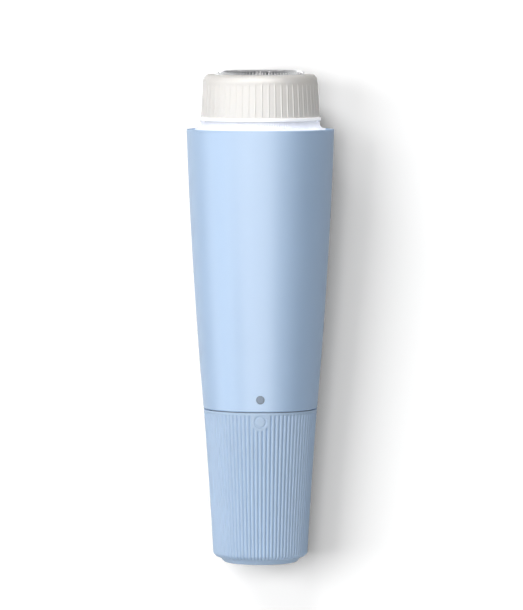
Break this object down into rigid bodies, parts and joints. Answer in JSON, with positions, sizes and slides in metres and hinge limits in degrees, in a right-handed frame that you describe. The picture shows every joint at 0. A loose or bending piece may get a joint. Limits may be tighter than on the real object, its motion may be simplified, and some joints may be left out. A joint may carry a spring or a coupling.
{
  "type": "facial shaver",
  "caption": "Battery facial shaver: round slotted foil over a spinning cutter, fluted head cap, lit ring, tapered smooth handle and reeded twist base that doubles as battery door.",
  "frame": {"origin": "centre of the flat foot face that the shaver stands on", "axes": "+Z along the handle from the foot to the foil, -Y towards the indicator dot on the front, +X to the right of the dot seen from the front"},
  "size_m": [0.0334, 0.0334, 0.1116],
  "materials": {
    "body_blue": "satin, pale blue, moulded",
    "cap_ivory": "satin, warm ivory, moulded",
    "head_white": "gloss white",
    "guide_clear": "milky translucent, lit from below",
    "foil_steel": "bright etched steel",
    "blade_steel": "ground steel",
    "spring_steel": "drawn wire",
    "shaft_steel": "ground steel",
    "screw_steel": "zinc plated",
    "button_steel": "nickel plated",
    "motor_steel": "drawn zinc-plated steel",
    "core_steel": "stacked laminations",
    "contact_nickel": "nickel plated",
    "retainer_grey": "matte",
    "coupling_black": "matte",
    "inner_white": "matte, unpainted moulding",
    "rotor_white": "matte, unpainted moulding",
    "liner_white": "matte, unpainted moulding",
    "motor_nylon": "natural nylon",
    "board_green": "solder mask",
    "chip_black": "matte",
    "lead_red": "wire insulation",
    "lead_black": "wire insulation",
    "lamp_white": "lamp body",
    "dot_grey": "satin grey inlay",
    "seal_rubber": "matte black rubber",
    "magnet_ferrite": "sintered ferrite",
    "bushing_bronze": "sintered bronze",
    "copper": "enamelled or bare copper",
    "battery_sleeve": "plain dark sleeve over the can"
  },
  "bodies": {
    "handle": {"body_shell": "body_blue", "indicator_dot": "dot_grey", "light_guide": "guide_clear", "led_board": "board_green", "led_1": "lamp_white", "led_2": "lamp_white", "led_3": "lamp_white", "led_4": "lamp_white", "head_deck": "inner_white", "shaft_seal": "seal_rubber", "motor_screw_1": "screw_steel", "motor_screw_2": "screw_steel", "motor_can": "motor_steel", "motor_end_cap": "motor_nylon", "magnet_left": "magnet_ferrite", "magnet_right": "magnet_ferrite", "motor_bushing_front": "bushing_bronze", "motor_bushing_rear": "bushing_bronze", "motor_terminal_plus": "copper", "motor_terminal_minus": "copper", "control_board": "board_green", "driver_chip": "chip_black", "inductor": "chip_black", "motor_lead_red": "lead_red", "motor_lead_black": "lead_black", "led_lead_red": "lead_red", "led_lead_black": "lead_black", "chassis": "inner_white", "positive_contact": "contact_nickel", "switch_contact": "contact_nickel"},
    "shaving_head": {"foil": "foil_steel", "head_cap": "cap_ivory", "head_base": "head_white", "foil_retainer": "retainer_grey"},
    "spindle": {"drive_coupling": "coupling_black", "motor_shaft": "shaft_steel", "armature_core": "core_steel", "winding_1": "copper", "winding_2": "copper", "winding_3": "copper", "commutator": "copper"},
    "cutter": {"cutter_blades": "blade_steel", "cutter_carrier": "inner_white", "cutter_spring": "spring_steel"},
    "switch_ring": {"switch_rotor": "rotor_white", "switch_wiper": "contact_nickel"},
    "twist_base": {"base_cover": "body_blue", "base_liner": "liner_white", "base_o_ring": "seal_rubber", "negative_contact": "contact_nickel", "negative_spring": "contact_nickel"},
    "battery": {"battery_cell": "battery_sleeve", "battery_button": "button_steel"}
  },
  "joints": [
    {"name": "head_lift", "type": "slide", "parent": "handle", "child": "shaving_head", "axis": [0, 0, 1], "range_m": [0, 0.03]},
    {"name": "spindle_spin", "type": "hinge", "parent": "handle", "child": "spindle", "pos_m": [0, 0, 0.0984], "axis": [0, 0, 1], "continuous": true},
    {"name": "cutter_float", "type": "slide", "parent": "spindle", "child": "cutter", "axis": [0, 0, -1], "range_m": [0, 0.0008], "stiffness_N_per_m": 400, "springref_m": -0.001, "deforming": ["cutter_spring"]},
    {"name": "base_twist", "type": "hinge", "parent": "handle", "child": "switch_ring", "pos_m": [0, 0, 0.035], "axis": [0, 0, 1], "range_deg": [0, 90]},
    {"name": "base_pull", "type": "slide", "parent": "switch_ring", "child": "twist_base", "axis": [0, 0, -1], "range_m": [0, 0.08]},
    {"name": "battery_slide", "type": "slide", "parent": "handle", "child": "battery", "axis": [0, 0, -1], "range_m": [0, 0.04]}
  ],
  "couplings": [
    {"joint": "battery_slide", "follows": "base_pull", "ratio": 0.5}
  ]
}
